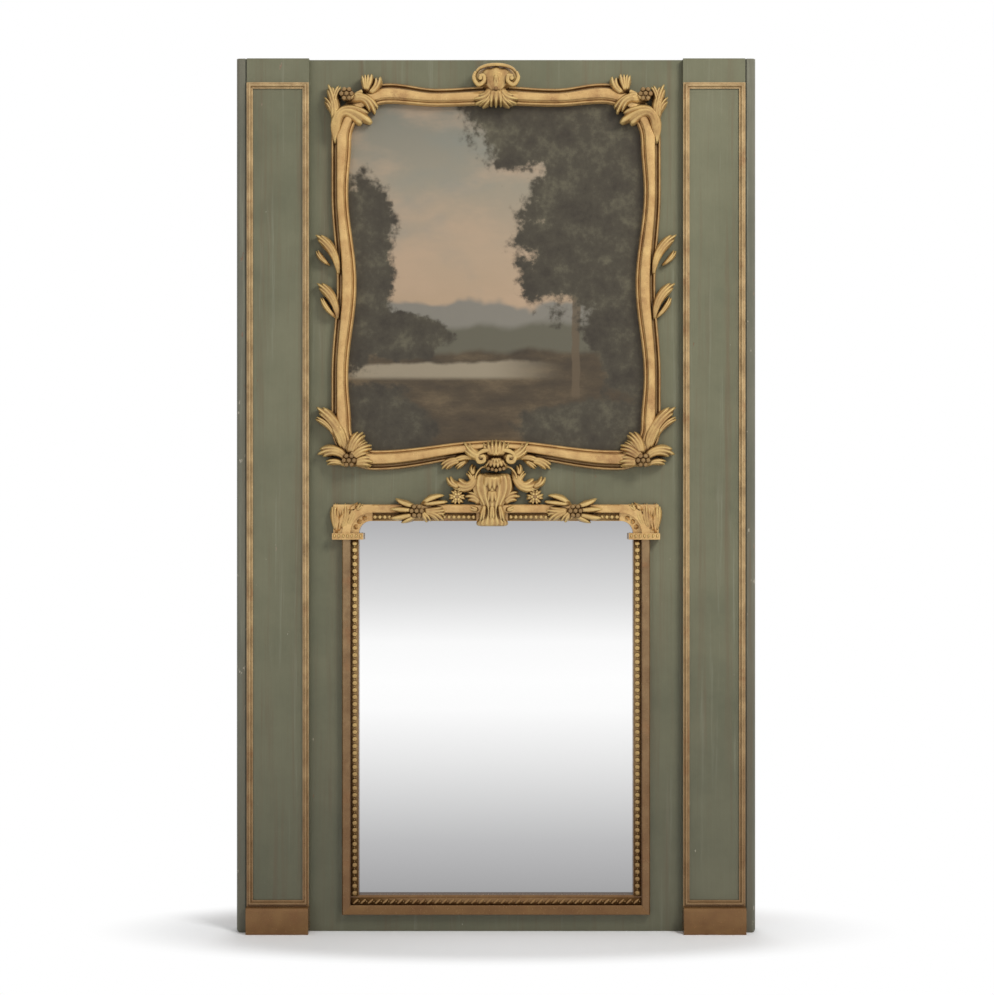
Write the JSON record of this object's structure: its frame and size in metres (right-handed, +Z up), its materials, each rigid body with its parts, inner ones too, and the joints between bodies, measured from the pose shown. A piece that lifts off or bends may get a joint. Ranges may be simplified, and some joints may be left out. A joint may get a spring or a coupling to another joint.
{
  "type": "trumeau mirror",
  "caption": "Tall painted wall panel with gilt mouldings: a picture in a serpentine carved frame above a mirror plate in a pearled frame, between panelled pilasters.",
  "frame": {"origin": "on the floor plane, in the middle of the width and of the carcass boards' thickness", "axes": "+X to the viewer's right, +Y into the wall, +Z up"},
  "size_m": [1.07, 0.09, 1.8],
  "materials": {
    "painted_wood": "worn grey-green paint, matt",
    "gilt_wood": "worn gilding over a reddish ground",
    "bare_wood": "bare, darkened",
    "canvas": "painted cloth, matt",
    "mirror_plate": "silvered plate with an old, clear surface",
    "iron": "forged, dark"
  },
  "bodies": {
    "panel": {"back_batten_bottom": "bare_wood", "back_batten_middle": "bare_wood", "back_batten_top": "bare_wood", "batten_nails": "iron", "bottom_rail": "painted_wood", "canvas": "canvas", "canvas_tacks": "iron", "corner_block_left": "gilt_wood", "corner_block_right": "gilt_wood", "corner_spray_bottom_left": "gilt_wood", "corner_spray_bottom_right": "gilt_wood", "corner_spray_top_left": "gilt_wood", "corner_spray_top_right": "gilt_wood", "edge_moulding_left": "painted_wood", "edge_moulding_right": "painted_wood", "garland_left": "gilt_wood", "garland_right": "gilt_wood", "hanger_nails": "iron", "hanger_strap_left": "iron", "hanger_strap_right": "iron", "lower_cartouche": "gilt_wood", "middle_rail": "painted_wood", "mirror_backing_boards": "bare_wood", "mirror_frame_bottom": "gilt_wood", "mirror_frame_left": "gilt_wood", "mirror_frame_right": "gilt_wood", "mirror_frame_top": "gilt_wood", "mirror_glass": "mirror_plate", "pearl_strip_left": "gilt_wood", "pearl_strip_right": "gilt_wood", "pearl_strip_top": "gilt_wood", "picture_frame_bottom": "gilt_wood", "picture_frame_left": "gilt_wood", "picture_frame_right": "gilt_wood", "picture_frame_top": "gilt_wood", "pilaster_left": "painted_wood", "pilaster_moulding_left": "gilt_wood", "pilaster_moulding_right": "gilt_wood", "pilaster_right": "painted_wood", "plinth_block_left": "gilt_wood", "plinth_block_right": "gilt_wood", "retaining_blocks": "bare_wood", "ribbon_strip": "gilt_wood", "scroll_left": "gilt_wood", "scroll_right": "gilt_wood", "shell_cartouche": "gilt_wood", "side_sprigs_left": "gilt_wood", "side_sprigs_right": "gilt_wood", "stile_left": "painted_wood", "stile_right": "painted_wood", "stretcher_bottom": "bare_wood", "stretcher_keys": "bare_wood", "stretcher_left": "bare_wood", "stretcher_middle": "bare_wood", "stretcher_right": "bare_wood", "stretcher_top": "bare_wood", "top_rail": "painted_wood", "vase_crest": "gilt_wood"},
    "ring_left": {"hanger_ring_left": "iron"},
    "ring_right": {"hanger_ring_right": "iron"}
  },
  "joints": [
    {"name": "ring_right_swing", "type": "hinge", "parent": "panel", "child": "ring_right", "pos_m": [0.41, 0.0189, 1.64], "axis": [1, 0, 0], "range_deg": [0, 180]},
    {"name": "ring_left_swing", "type": "hinge", "parent": "panel", "child": "ring_left", "pos_m": [-0.41, 0.0189, 1.64], "axis": [1, 0, 0], "range_deg": [0, 180]}
  ]
}
